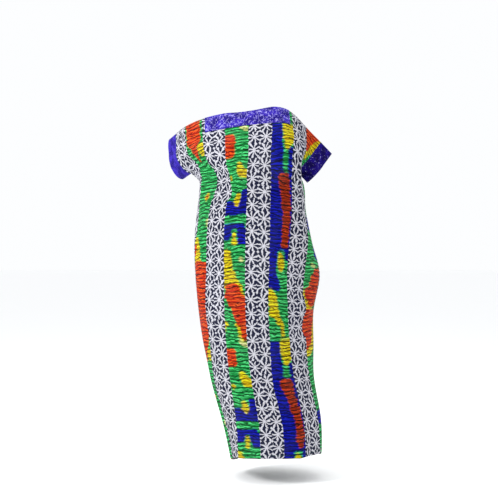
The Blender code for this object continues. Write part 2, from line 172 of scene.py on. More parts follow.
# Finer creases that only the looks carry, as uneven as worn cotton
CREASES = in_metres(
    Fold,
    # fanning out of the left armpit, behind
    (285, 178, 150, 262, 4, 13, 3, 8, 0),
    (300, 345, 235, 600, -6, 12, 0, 4.5, 0),
    (300, 215, 150, 300, 6, 12, 0, -4.8, 0),
    (290, 245, 130, 385, -4, 10, 0, 4.2, 0),
    (300, 320, 190, 470, 6, 11, 0, -3.8, 0),
    (240, 140, 170, 215, 4, 10, 0, 3.5, 0),
    # where the right sleeve folds down
    (-262, 170, -300, 420, 4, 12, 0, 6, 0),
    (-235, 60, -245, 190, -4, 9, 0, -4.8, 0),
    (-300, 120, -255, 235, 6, 10, 0, 4.5, 0),
    (-215, 210, -180, 330, 4, 11, 0, 3.2, 0),
    # crumpled at the right hip
    (-345, 655, -215, 705, 6, 9, 0, 4.8, 0),
    (-325, 720, -190, 800, 4, 10, 0, -5.4, 0),
    (-300, 760, -255, 880, -5, 9, 0, 4.8, 0),
    (-340, 870, -210, 925, -4, 10, 0, 4.2, 0),
    # short soft dents over the seat and the small of the back
    (120, 500, 20, 545, 4, 13, 0, 3.2, 0),
    (60, 580, -60, 600, -4, 12, 0, -2.6, 0),
    (-90, 470, -170, 520, 3, 12, 0, 3.2, 0),
    (20, 300, -75, 350, 4, 13, 0, 2.6, 0),
    # long creases down to the hem, behind
    (130, 880, 115, 1400, 4, 13, 0, 4.2, 6.4),
    (20, 1020, 0, 1400, -4, 12, 0, -3.2, -5.4),
    (-150, 900, -150, 1400, 5, 14, 0, -3.8, -6.4),
    (260, 950, 235, 1400, 4, 13, 0, 4.2, 6.4),
    (-290, 1000, -275, 1400, 4, 12, 0, -3.8, -5.8),
    # down and across the front
    (230, -230, 60, -330, -4, 12, 0, 4.2, 0),
    (-255, -220, -100, -330, 5, 12, 0, -4.2, 0),
    (120, -420, -20, -470, 4, 13, 0, 2.9, 0),
    (-70, -400, -170, -440, -4, 12, 0, 3.2, 0),
    (165, -700, 160, -1400, 4, 12, 0, -3.8, -6.4),
    (-10, -760, -10, -1400, 4, 13, 0, 4.2, 6.4),
    (-175, -720, -180, -1400, -4, 12, 0, -3.5, -6.4),
    (325, -500, 320, -1400, 4, 12, 0, 3.2, 5.4),
)
FOLD_FADE_SIDE = 0.050
FOLD_FADE_SHOULDER = 0.040

# Soft dents round a cuff: where along the armhole, half width, and depth at the edge
Dent = namedtuple("Dent", "v width depth")
CUFF_DENTS = in_metres(
    Dent,
    (-185, 20, 3),
    (-110, 26, -2.4),
    (-30, 22, 2.2),
    (50, 24, -2),
    (120, 20, 3),
    (180, 18, -2.6),
)

# The chart of the coloured stripes: which stripe, counted from the wearer's right seam, a
# colour, and rows down the cut, each a distance in millimetres and the percents of the
# stripe's width between which the patch lies there: 0 at the edge towards the wearer's
# left, 100 at the other. All of it comes again every REPEAT down the cloth.
REPEAT = 0.83
Patch = namedtuple("Patch", "stripe colour rows")
PATCHES = (
    # the stripe left of the middle
    Patch(4, "cream", ((72, 54, 80), (84, 68, 96), (100, 84, 100))),
    Patch(4, "orange", ((108, 0, 36), (130, 0, 43), (190, 0, 40), (208, 0, 30))),
    Patch(4, "yellow", ((224, 50, 70), (250, 50, 84), (270, 50, 100), (292, 62, 100))),
    Patch(4, "yellow", ((281, 6, 18), (292, 4, 22), (303, 8, 16))),
    Patch(4, "blue", ((336, 78, 100), (352, 70, 100), (400, 66, 100))),
    Patch(4, "blue", ((384, 0, 100), (438, 0, 100))),
    Patch(4, "yellow", ((350, 40, 60), (364, 36, 68), (386, 38, 66), (403, 50, 60))),
    Patch(4, "blue", ((468, 0, 95), (494, 0, 95))),
    Patch(4, "blue", ((480, 0, 44), (515, 0, 38), (536, 0, 26))),
    Patch(4, "blue", ((480, 58, 95), (520, 62, 100), (554, 68, 100))),
    Patch(4, "yellow", ((500, 46, 52), (518, 42, 58), (546, 38, 62), (558, 44, 58))),
    Patch(4, "yellow", ((570, 0, 24), (600, 0, 36), (650, 0, 46), (690, 0, 66), (716, 0, 88),
                        (745, 50, 96), (768, 80, 96))),
    Patch(4, "cream", ((600, 74, 88), (610, 68, 94), (622, 76, 90))),
    Patch(4, "orange", ((704, 20, 60), (716, 3, 74), (758, 3, 94), (780, 14, 100), (815, 36, 100),
                        (850, 52, 100), (884, 74, 100), (908, 84, 98))),
    Patch(4, "yellow", ((860, 50, 70), (885, 60, 86), (912, 72, 92))),
    Patch(4, "yellow", ((852, 0, 8), (868, 0, 15), (884, 0, 8))),
    # the stripe right of the middle
    Patch(2, "blue", ((76, 0, 46), (185, 0, 50), (215, 0, 75), (550, 0, 75), (590, 0, 50),
                      (620, 0, 42), (650, 0, 36), (690, 0, 64), (732, 14, 62))),
    Patch(2, "blue", ((184, 74, 100), (205, 46, 100), (560, 46, 100), (592, 62, 100),
                      (618, 84, 100))),
    Patch(2, "green", ((180, 60, 76), (210, 54, 80), (250, 54, 80), (262, 60, 76))),
    Patch(2, "yellow", ((70, 50, 100), (110, 48, 100), (152, 52, 100), (176, 60, 92),
                        (198, 64, 80))),
    Patch(2, "rust", ((258, 44, 80), (272, 28, 86), (300, 34, 88), (345, 45, 90), (430, 54, 96),
                      (500, 56, 97), (550, 58, 92), (560, 62, 88))),
    Patch(2, "green", ((566, 46, 76), (600, 40, 82), (625, 38, 100), (650, 36, 100),
                       (720, 66, 100))),
    Patch(2, "yellow", ((578, 50, 62), (600, 42, 76), (630, 42, 82), (655, 50, 74))),
    Patch(2, "yellow", ((724, 0, 24), (745, 0, 36), (775, 2, 48), (825, 4, 52), (845, 30, 64),
                        (875, 52, 78), (898, 62, 78))),
    # the stripe at the wearer's left sleeve
    Patch(6, "orange", ((-30, 4, 92), (100, 5, 88), (125, 28, 66), (165, 38, 62), (196, 46, 56))),
    Patch(6, "yellow", ((118, 66, 100), (150, 62, 100), (180, 80, 100))),
    Patch(6, "yellow", ((330, 62, 66), (346, 52, 76), (364, 60, 70))),
    Patch(6, "orange", ((338, 62, 68), (347, 60, 70), (356, 62, 68))),
    Patch(6, "cream", ((440, 88, 100), (456, 86, 100), (472, 90, 100))),
    Patch(6, "yellow", ((505, 0, 30), (530, 0, 46), (600, 0, 60), (640, 0, 60))),
    Patch(6, "orange", ((535, 0, 10), (560, 0, 22), (585, 0, 12))),
    Patch(6, "orange", ((606, 18, 60), (622, 0, 100), (860, 0, 100), (930, 0, 80))),
    # the stripe at the wearer's right side seam
    Patch(0, "orange", ((-30, 0, 96), (20, 0, 86), (60, 0, 62), (95, 0, 40), (118, 0, 16))),
    Patch(0, "yellow", ((-10, 92, 100), (30, 78, 100), (70, 46, 100), (105, 20, 80), (140, 0, 56),
                        (158, 0, 26))),
    Patch(0, "blue", ((404, 16, 100), (425, 0, 100), (462, 0, 100), (478, 40, 100))),
    Patch(0, "blue", ((470, 72, 100), (500, 58, 100), (570, 60, 100), (592, 74, 100))),
    Patch(0, "cream", ((606, 26, 50), (618, 34, 62), (628, 46, 62))),
    Patch(0, "orange", ((628, 58, 100), (660, 40, 100), (705, 30, 100), (716, 10, 100),
                        (776, 14, 94), (792, 26, 90))),
    Patch(0, "yellow", ((716, 0, 12), (740, 0, 20), (790, 0, 62), (812, 0, 50))),
)
# The patches' colours in the order they are laid on, and how softly each one's edge blends
PATCH_BLURS = (
    ("blue", 0.0036),
    ("green", 0.0060),
    ("yellow", 0.0056),
    ("orange", 0.0042),
    ("rust", 0.0034),
    ("cream", 0.0056),
)
CHART_UNITS = np.array([[1000.0], [100.0], [100.0]])
PATCH_ROUND = 0.010
PAST_EDGE = 0.25

# How much further down the print each place of the worn cloth lies, where easing and
# seating draw the cloth together: the distance down the cut and the print's advance.
EASE_AT = (0.00, 0.88, 0.93, 0.97, 1.03, 1.08, 1.20, 1.35, 1.40)
EASE = (0.000, 0.000, -0.024, -0.021, 0.002, 0.012, 0.020, 0.030, 0.032)

# Noises over the cut that make the print uneven: how wide and tall their blots are, which
# noise it is, how finely it is broken up, and how far it pushes a value that it sways
Blots = namedtuple("Blots", "wide tall layer detail reach", defaults=(2.0, 0.0))
STRIPE_EDGE = Blots(0.090, 0.013, 1.0, 2.0, 0.011)
WEAR = Blots(0.130, 0.100, 12.0, 4.0)

# A pair of stripes counts 1: the coloured one's middle in it, and how far from that the
# white one and the coloured one are whole
COLOURED_MIDDLE = 0.25
COLOURED_EDGE = (0.256, 0.248)
# From which to which noise the cloth wears, and how far wear and the reverse tint it
WORN = (0.40, 0.75)
WORN_TINT, REVERSE_TINT = 0.03, 0.35

# The star repeat of the white stripes
STAR_WIDTH = STRIPE / 2
STAR_HEIGHT = 0.053
STAR_RAYS = 8
STAR_ACROSS = Blots(0.040, 0.040, 3.0, 2.0, 0.008)
STAR_DOWN = Blots(0.040, 0.040, 4.0, 2.0, 0.012)
STAR_CROOKED = Blots(0.010, 0.010, 5.0, 2.0, 0.70)
STAR_SHADE = Blots(0.016, 0.016, 7.0, 3.0)
# How far the stars turn, in radians, and the half ray that puts a dart on the level line
STAR_TURN = 0.50
FIRST_DART = 0.5
# How much of the angle between two petals a dart fills, by the reach from the star's middle
DART_SHARES = ((0.0, 0.0), (0.15, 0.0), (0.32, 0.46), (0.58, 0.58), (0.86, 0.68), (1.0, 0.68))
DART_RAGGED = Blots(0.012, 0.012, 6.0, 2.0, 0.50)
DART_SOFT = 0.10
# How far from the corner of four stars its white spot begins, and where it is whole
CORNER_SPOT = (0.27, 0.17)

# The dark lines across the coloured stripes: how far apart, how they sway, how far they
# swell, between which nearnesses they darken, how dark, how much lighter the cloth is
# between, and how long the patches' tongues are between two lines
Crinkle = namedtuple("Crinkle", "pitch sway swell thin thick depth light tongue")
CRINKLES = (
    Crinkle(0.0150, Blots(0.085, 0.050, 2.0, 3.0, 2.60), 0.90, 0.66, 0.90, 0.96, 0.44, 0.006),
    Crinkle(0.0086, Blots(0.046, 0.034, 2.0, 3.0, 4.60), 1.00, 0.68, 0.94, 0.86, 0.34, 0.003),
)
TONGUE_MIDDLE = 0.002
STREAKS = Blots(0.045, 0.0075, 5.0, 3.0)
# From which to which lift a colour goes from its deeper to its lighter tone
STREAK_LIFT = (0.22, 0.54)
# What makes a patch's edge ragged, and what makes it drift
RAGGED = Blots(0.060, 0.0085, 8.0, 3.0, 0.014)
DRIFT = Blots(0.030, 0.030, 9.0, 2.0, 0.010)

# The crooked flecks of the neck band and cuffs, what breaks them, and the mottled ground
FLECK_LINES = Blots(0.0090, 0.0074, 1.0)
FLECK_BREAKS = Blots(0.0085, 0.0085, 2.0, 3.0, 0.42)
MOTTLE = Blots(0.030, 0.024, 3.0, 3.0)
MOTTLE_EDGE = (0.40, 0.60)
FLECK_EDGE = (-0.010, 0.014)
# How strong flecks are on the deeper ground, and how much more on the lighter
FLECK_STRENGTH, FLECK_MORE = 0.50, 0.35
NECK_FLECKS, LEFT_FLECKS, RIGHT_FLECKS = 0.018, 0.024, -0.028

# The weave: the space between two threads, and how high they stand in the crumpling. Each
# crumpling is a noise's scale, detail and roughness, and how high it stands in metres.
THREAD_SPACE = 0.0006
THREAD_HEIGHT = 0.06
WAX_CRUMPLE, WAX_RELIEF = (34.0, 4.0, 0.55), 0.0022
BAND_CRUMPLE, BAND_RELIEF = (60.0, 3.0, 0.5), 0.0014
# The thread's twist: its noise's scale, how strong and how high it stands, and its shade
TWIST_SCALE, TWIST_STRENGTH, TWIST_RELIEF, TWIST_SHADE = 1400.0, 0.5, 0.0001, 0.6

# How each finish takes the light
WAX_FINISH = {
    "Roughness": 0.62,
    "Specular IOR Level": 0.05,
    "Sheen Weight": 0.006,
    "Sheen Roughness": 0.45,
}
BAND_FINISH = {"Roughness": 0.66, "Specular IOR Level": 0.05, "Sheen Weight": 0.006}
THREAD_FINISH = {"Roughness": 0.75}
FLOOR_FINISH = {"Roughness": 0.9}

# A stitch's rings of points, and the share of its length at which its ends are closed
STITCH_RINGS = 6
STITCH_END = 0.04

# Each light's place, size and share of the main light's strength
LIGHTS = {
    "key": ((2.9, 1.5, 1.5), 1.2, 1.0),
    "fill": ((-2.6, 2.4, 0.4), 2.4, 0.12),
    "top": ((0.0, 0.0, 2.4), 2.4, 0.24),
    "front": ((0.8, -3.4, 1.0), 2.4, 0.30),
}
# The width of the camera's picture, in mm, that the lens goes by
SENSOR = 36.0

# How far a tuck under the left armpit and the crumple at the right hip draw the print
# aside: each one's middle and half width across, and rows down the cut, each a distance
# and the print's shift there, positive towards the wearer's right
Tuck = namedtuple("Tuck", "middle half rows")
TUCKS = (
    Tuck(0.085, 0.055, ((0.20, 0.000), (0.25, -0.010), (0.29, -0.008), (0.32, 0.008), (0.345, 0.021),
                        (0.364, 0.019), (0.376, 0.002), (0.40, 0.000))),
    Tuck(-0.255, 0.050, ((0.68, 0.000), (0.72, -0.005), (0.76, 0.005), (0.80, 0.005), (0.85, -0.008),
                         (0.885, -0.021), (0.905, -0.010), (0.93, 0.003), (0.98, 0.000))),
)


def unit(vectors):
    """The same directions with length 1."""
    return vectors / np.linalg.norm(vectors, axis=-1, keepdims=True)


# Which way the sleeves point, at the wearer's left (1) and right (-1)
SLEEVES = {1: unit(np.array([0.53, -0.78, -0.32])), -1: unit(np.array([-0.70, -0.10, -0.71]))}


def smooth_step(amount):
    """0 below 0, 1 above 1, and 3 a squared less 2 a cubed between."""
    amount = np.clip(amount, 0.0, 1.0)
    return amount * amount * (3.0 - 2.0 * amount)


def spline_weights(knots, places):
    """How much each knot's value counts at each place on the natural cubic curve through all."""
    knots = np.asarray(knots, float)
    count = len(knots)
    gaps = np.diff(knots)
    bend_of, change_of = np.eye(count), np.zeros((count, count))
    for k in range(1, count - 1):
        bend_of[k, k - 1 : k + 2] = gaps[k - 1], 2.0 * (gaps[k - 1] + gaps[k]), gaps[k]
        change_of[k, k - 1 : k + 2] = 1 / gaps[k - 1], -1 / gaps[k - 1] - 1 / gaps[k], 1 / gaps[k]
    bends = np.linalg.solve(bend_of, 6.0 * change_of)
    places = np.asarray(places, float)
    low = np.clip(np.searchsorted(knots, places, side="right") - 1, 0, count - 2)
    gap = gaps[low]
    after = (places - knots[low]) / gap
    before = 1.0 - after
    each = np.eye(count)
    weights = before[..., None] * each[low] + after[..., None] * each[low + 1]
    weights += ((before**3 - before) * gap**2 / 6.0)[..., None] * bends[low]
    weights += ((after**3 - after) * gap**2 / 6.0)[..., None] * bends[low + 1]
    return weights


def shoulder_rows(side):
    """Rows of points from the shoulder seam to armhole depth, of the back (1) or front (-1).

    Each line runs straight between its two points and swells out square to the
    cloth, by its bulge times a half sine that is fullest below the middle.
    """
    top = np.array([line.shoulder for line in SHOULDER_LINES])
    low = np.array([line.back if side > 0 else line.front for line in SHOULDER_LINES])
    bulge = np.array([line.back_bulge if side > 0 else line.front_bulge for line in SHOULDER_LINES])
    outward = side * unit(np.cross(np.gradient(top, axis=0), low - top))
    rows = {}
    for share in SHOULDER_ROWS + (1.0,):
        swell = (bulge * math.sin(math.pi * share**SWELL_LOW))[:, None] * outward
        rows[side * ARMHOLE * share] = top + (low - top) * share + swell
    return rows


def ring_row(ring, side):
    """One ring's points at the nine stripe lines of the back or front, and one past each seam.

    The points lie on an ellipse at the lines' angles, and its height runs from the
    middle's to the seam's by a smooth step of the distance from the middle.
    """
    u = np.array([line.u for line in SHOULDER_LINES])
    back_angles = np.radians(ring.angles)
    right, left = back_angles[0], back_angles[-1]
    front_angles = np.linspace(right, left + 2 * math.pi, len(u))
    here, there = (back_angles, front_angles) if side > 0 else (front_angles, back_angles)
    angles = np.concatenate([[there[1]], here, [there[-2]]])
    u = np.concatenate([[u[0] - STRIPE], u, [u[-1] + STRIPE]])
    share = smooth_step(np.abs(u) / PANEL_HALF)
    middle = ring.back_z if side > 0 else ring.front_z
    seam = np.where(u > 0, ring.left_z, ring.right_z)
    depth = np.where(np.sin(angles) > 0, ring.back_depth, ring.front_depth)
    return np.stack(
        [
            ring.x + ring.half_width * np.cos(angles),
            depth * np.sin(angles),
            middle + (seam - middle) * share,
        ],
        axis=-1,
    )


def cloth_net():
    """The net that the garment hangs from: its rows' v, its columns' u and its points."""
    rows = {0.0: np.array([line.shoulder for line in SHOULDER_LINES])}
    for side in (1, -1):
        rows.update(shoulder_rows(side))
    net = {}
    for v, points in rows.items():
        net[v] = np.vstack([points[0] + STRIPE * SLEEVES[-1], points, points[-1] + STRIPE * SLEEVES[1]])
    for side in (1, -1):
        for ring in RINGS:
            net[side * ring.v] = ring_row(ring, side)
    lengths = sorted(net)
    columns = [line.u for line in SHOULDER_LINES]
    columns = [columns[0] - STRIPE] + columns + [columns[-1] + STRIPE]
    return np.array(lengths), np.array(columns), np.array([net[v] for v in lengths])


NET_V, NET_U, NET = cloth_net()
EDGES = {1: NET[:, -2], -1: NET[:, 1]}


def net_point(u, v):
    """The smooth sheet through every point of the net: its points, weighed by splines in u and v."""
    across = spline_weights(NET_U, u)
    along = spline_weights(NET_V, v)
    return np.einsum("...r,...c,rcx->...x", along, across, NET, optimize=True)


def armhole_point(hand, v):
    """The armhole at the wearer's left (1) or right (-1): one smooth loop over and under the arm."""
    loop = np.abs(NET_V) < ARMHOLE + SLOPE_STEP
    loop_v, loop_points = NET_V[loop][:-1], EDGES[hand][loop][:-1]
    turns = np.concatenate([loop_v - 2 * ARMHOLE, loop_v, loop_v + 2 * ARMHOLE])
    return spline_weights(turns, v) @ np.tile(loop_points, (3, 1))


def edge_point(hand, v):
    """Both panels' own edge: the armhole, and below it one smooth side seam down to the hem."""
    seam = NET_V > ARMHOLE - SLOPE_STEP
    side = spline_weights(NET_V[seam], np.abs(v)) @ EDGES[hand][seam]
    return np.where((np.abs(v) < ARMHOLE)[..., None], armhole_point(hand, v), side)


def smooth_cloth(u, v):
    """The unfolded outer face: the net's sheet, its last stripe each side drawn onto the edge."""
    points = net_point(u, v)
    for hand in (1, -1):
        nearness = smooth_step(1.0 - (PANEL_HALF - hand * u) / STRIPE)
        pull = edge_point(hand, v) - net_point(np.full_like(u, hand * PANEL_HALF), v)
        points = points + nearness[..., None] * pull
    return points


def outward(surface, u, v):
    """The outward direction of a surface of u and v: its slope in u crossed with its slope in v."""
    slope_u = surface(u + SLOPE_STEP, v) - surface(u - SLOPE_STEP, v)
    slope_v = surface(u, v + SLOPE_STEP) - surface(u, v - SLOPE_STEP)
    return unit(np.cross(slope_u, slope_v))


def fold_height(u, v):
    """How far folds and creases lift the cloth.

    Each is its depth times a bell across its bowed line, e to the minus square of the
    distance over the half width, and all fade out at the seams.
    """
    height = np.zeros(np.broadcast(u, v).shape)
    for fold in FOLDS + CREASES:
        run = np.array([fold.u1 - fold.u0, fold.v1 - fold.v0])
        length = np.linalg.norm(run)
        run = run / length
        along = ((u - fold.u0) * run[0] + (v - fold.v0) * run[1]) / length
        inside = np.clip(along, 0.0, 1.0)
        aside = (v - fold.v0) * run[0] - (u - fold.u0) * run[1] - fold.bow * np.sin(math.pi * inside)
        past = (along - inside) * length
        depth = np.interp(inside, (0.0, 0.5, 1.0), (fold.start, fold.middle, fold.end))
        height = height - depth * np.exp(-(aside**2 + past**2) / fold.width**2)
    height = height * smooth_step((PANEL_HALF - np.abs(u)) / FOLD_FADE_SIDE)
    return height * smooth_step(np.abs(v) / FOLD_FADE_SHOULDER)


def cloth(u, v):
    """The garment's outer face: the smooth cloth, moved out by its folds and creases."""
    return smooth_cloth(u, v) + fold_height(u, v)[..., None] * outward(smooth_cloth, u, v)


def tube_outward(hand, v):
    """The outward direction of a tube carried straight out from an armhole along its sleeve."""
    run = armhole_point(hand, v + SLOPE_STEP) - armhole_point(hand, v - SLOPE_STEP)
    return unit(np.cross(hand * SLEEVES[hand], run))


def edge_outward(hand, v):
    """The outward direction that panel and cuff share at the armhole: midway between theirs."""
    u = np.full_like(v, hand * PANEL_HALF)
    panel = outward(cloth, u, v)
    ends = (np.abs(v) > ARMHOLE - SLOPE_STEP)[..., None]
    panel = unit(np.where(ends, panel + outward(cloth, u, -v), panel))
    return unit(panel + tube_outward(hand, v))


def cells(start, end, cell):
    """Even steps from start to end, each about one cell."""
    return np.linspace(start, end, max(1, round(abs(end - start) / cell)) + 1)


def neck_line(u, drop):
    """How far down a neck is cut: its drop, less a power of the share of its half width."""
    return drop * np.maximum(0.0, 1.0 - np.abs(u / NECK_HALF) ** NECK_POWER)


def panel_places(neck_drop, band_drop, cell):
    """The mesh's u and v over one panel, v from the neck and shoulder edge down to the hem."""
    spans = ((0.0, NECK_HALF), (NECK_HALF, BAND_HALF), (BAND_HALF, PANEL_HALF))
    half = np.concatenate([[0.0]] + [cells(*span, cell)[1:] for span in spans])
    u = np.concatenate([-half[:0:-1], half])
    neck = neck_line(u, neck_drop)
    band_rows = neck + (band_drop - neck) * cells(0.0, 1.0, cell / band_drop)[:, None]
    rest = np.concatenate([cells(band_drop, ARMHOLE, cell)[1:], cells(ARMHOLE, PANEL_LENGTH, cell)[1:]])
    v = np.vstack([band_rows, rest[:, None] + 0 * u])
    return u + 0 * v, v, len(band_rows)


def open_shoulder(points, u, gap):
    """Draws the shoulder seam's points down by half the seam gap."""
    shoulder = np.abs(u[0]) > NECK_HALF - SLOPE_STEP / 2
    points[0, shoulder] += unit(points[1, shoulder] - points[0, shoulder]) * gap / 2


def panel_faces(u, v, side, gap):
    """A panel's outer points and outward directions, with rows from the shoulder to the hem.

    Both side seams take the mean of the two panels' directions, so that the walls
    meet edge to edge, and every sewn edge is drawn back by half the seam gap.
    """
    points = cloth(u, side * v)
    normals = outward(cloth, u, side * v)
    seam = v[:, 0] > ARMHOLE - SLOPE_STEP
    armhole = v[:, 0] < ARMHOLE + SLOPE_STEP
    for edge, inner, hand in ((0, 1, -1), (-1, -2, 1)):
        other = outward(cloth, u[seam, edge], -side * v[seam, edge])
        normals[seam, edge] = unit(normals[seam, edge] + other)
        normals[armhole, edge] = edge_outward(hand, side * v[armhole, edge])
        back_in = points[seam, inner] - points[seam, edge]
        points[seam, edge] += unit(back_in) * gap / 2
    open_shoulder(points, u, gap)
    return points, normals


def drawn_aside(u, v):
    """How far tucks draw the back's print aside: each one's shift times a bell across it, summed."""
    aside = np.zeros(u.shape)
    for tuck in TUCKS:
        down, shift = np.array(tuck.rows).T
        aside += np.interp(v, down, shift) * np.exp(-(((u - tuck.middle) / tuck.half) ** 2))
    return aside


def patch_depth(colour, u, v):
    """How far inside the nearest patch of one colour each place is, in metres, and below 0 outside.

    A patch's sides run straight between its rows. The depth is the least distance to
    its sides and ends, and round a corner the radius less the distance from the
    corner's own centre. A side at the stripe's edge goes on past it.
    """
    deepest = np.full(u.shape, -STRIPE)
    counted = (u + PANEL_HALF) / STRIPE
    nearest = np.clip(2 * np.round((counted - 0.5) / 2), 0, 6)
    share = nearest + 1 - counted
    printed = v + np.interp(v, EASE_AT, EASE)
    for patch in PATCHES:
        if patch.colour != colour:
            continue
        down, start, end = np.array(patch.rows).T / CHART_UNITS
        start = np.where(start == 0.0, -PAST_EDGE, start)
        end = np.where(end == 1.0, 1.0 + PAST_EDGE, end)
        for turn in (0, 1):
            place = printed - turn * REPEAT
            past_start = share - np.interp(place, down, start)
            side = np.minimum(past_start, np.interp(place, down, end) - share)
            side = PATCH_ROUND - side * STRIPE
            finish = PATCH_ROUND - np.minimum(place - down[0], down[-1] - place)
            corner = np.hypot(np.maximum(side, 0.0), np.maximum(finish, 0.0))
            depth = PATCH_ROUND - corner - np.minimum(np.maximum(side, finish), 0.0)
            deepest = np.maximum(deepest, np.where(nearest == patch.stripe, depth, -STRIPE))
    return deepest


def grid_corners(rows, columns, ring):
    """The corners of every cell of a grid, four to a cell, as row and column numbers.

    In a ring the last row of cells ends on a row past the last, which is the first
    again for points and goes on counting for the print.
    """
    down, across = np.arange(rows if ring else rows - 1), np.arange(columns - 1)
    row, column = np.meshgrid(down, across, indexing="ij")
    row, column = row.ravel()[:, None], column.ravel()[:, None]
    return row + np.array([0, 0, 1, 1]), column + np.array([0, 1, 1, 0])


def wall_piece(name, outer, inner, cut, look, marks, turned=False, ring=False):
    """A thin closed wall between two grids of points, with the cut's u and v as its UV map.

    The inner grid lies behind the outer one, the rim joins their edges, and an
    attribute says which side of the cloth a corner is on. marks are grids of numbers
    that the material reads by name.
    """
    rows, columns = outer.shape[:2]
    row, column = grid_corners(rows, columns, ring)
    point = (row % rows) * columns + column
    behind = rows * columns
    place = row * columns + column
    steps = np.arange(rows if ring else rows - 1)
    sides = [
        (np.stack([steps + 1, steps]), np.zeros((2, len(steps)), int)),
        (np.stack([steps, steps + 1]), np.full((2, len(steps)), columns - 1)),
    ]
    if not ring:
        across = np.arange(columns - 1)
        sides.append((np.zeros((2, len(across)), int), np.stack([across, across + 1])))
        sides.append((np.full((2, len(across)), rows - 1), np.stack([across + 1, across])))
    quads = [point, point[:, ::-1] + behind]
    places = [place, place[:, ::-1]]
    inside = [np.zeros_like(point), np.ones_like(point)]
    for side_row, side_column in sides:
        first, last = (side_row % rows) * columns + side_column
        first_place, last_place = side_row * columns + side_column
        quads.append(np.stack([last, first, first + behind, last + behind], axis=-1))
        places.append(np.stack([last_place, first_place, first_place, last_place], axis=-1))
        inside.append(np.tile([0, 0, 1, 1], (len(first), 1)))
    quads, places, inside = np.concatenate(quads), np.concatenate(places), np.concatenate(inside)
    if turned:
        quads, places, inside = quads[:, ::-1], places[:, ::-1], inside[:, ::-1]
    mesh = bpy.data.meshes.new(name)
    points = np.concatenate([outer.reshape(-1, 3), inner.reshape(-1, 3)])
    mesh.from_pydata(points.tolist(), [], quads.tolist())
    mesh.update()
    places, inside = places.ravel(), inside.ravel()
    uv = mesh.uv_layers.new(name="cut")
    uv.data.foreach_set("uv", cut.reshape(-1, 2)[places].astype(np.float32).ravel())
    numbers = {key: grid.ravel()[places] for key, grid in marks.items()}
    numbers["inside"] = inside
    for key, values in numbers.items():
        attribute = mesh.attributes.new(key, "FLOAT", "CORNER")
        attribute.data.foreach_set("value", values.astype(np.float32))
    mesh.shade_smooth()
    mesh.set_sharp_from_angle(angle=SHARP_ANGLE)
    mesh.materials.append(look)
    return make_piece(name, mesh)


def make_piece(name, mesh):
    """An object for a finished mesh, at the origin, riding on the garment's one body."""
    piece = bpy.data.objects.new(name, mesh)
    bpy.context.scene.collection.objects.link(piece)
    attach(piece, "root")
    return piece


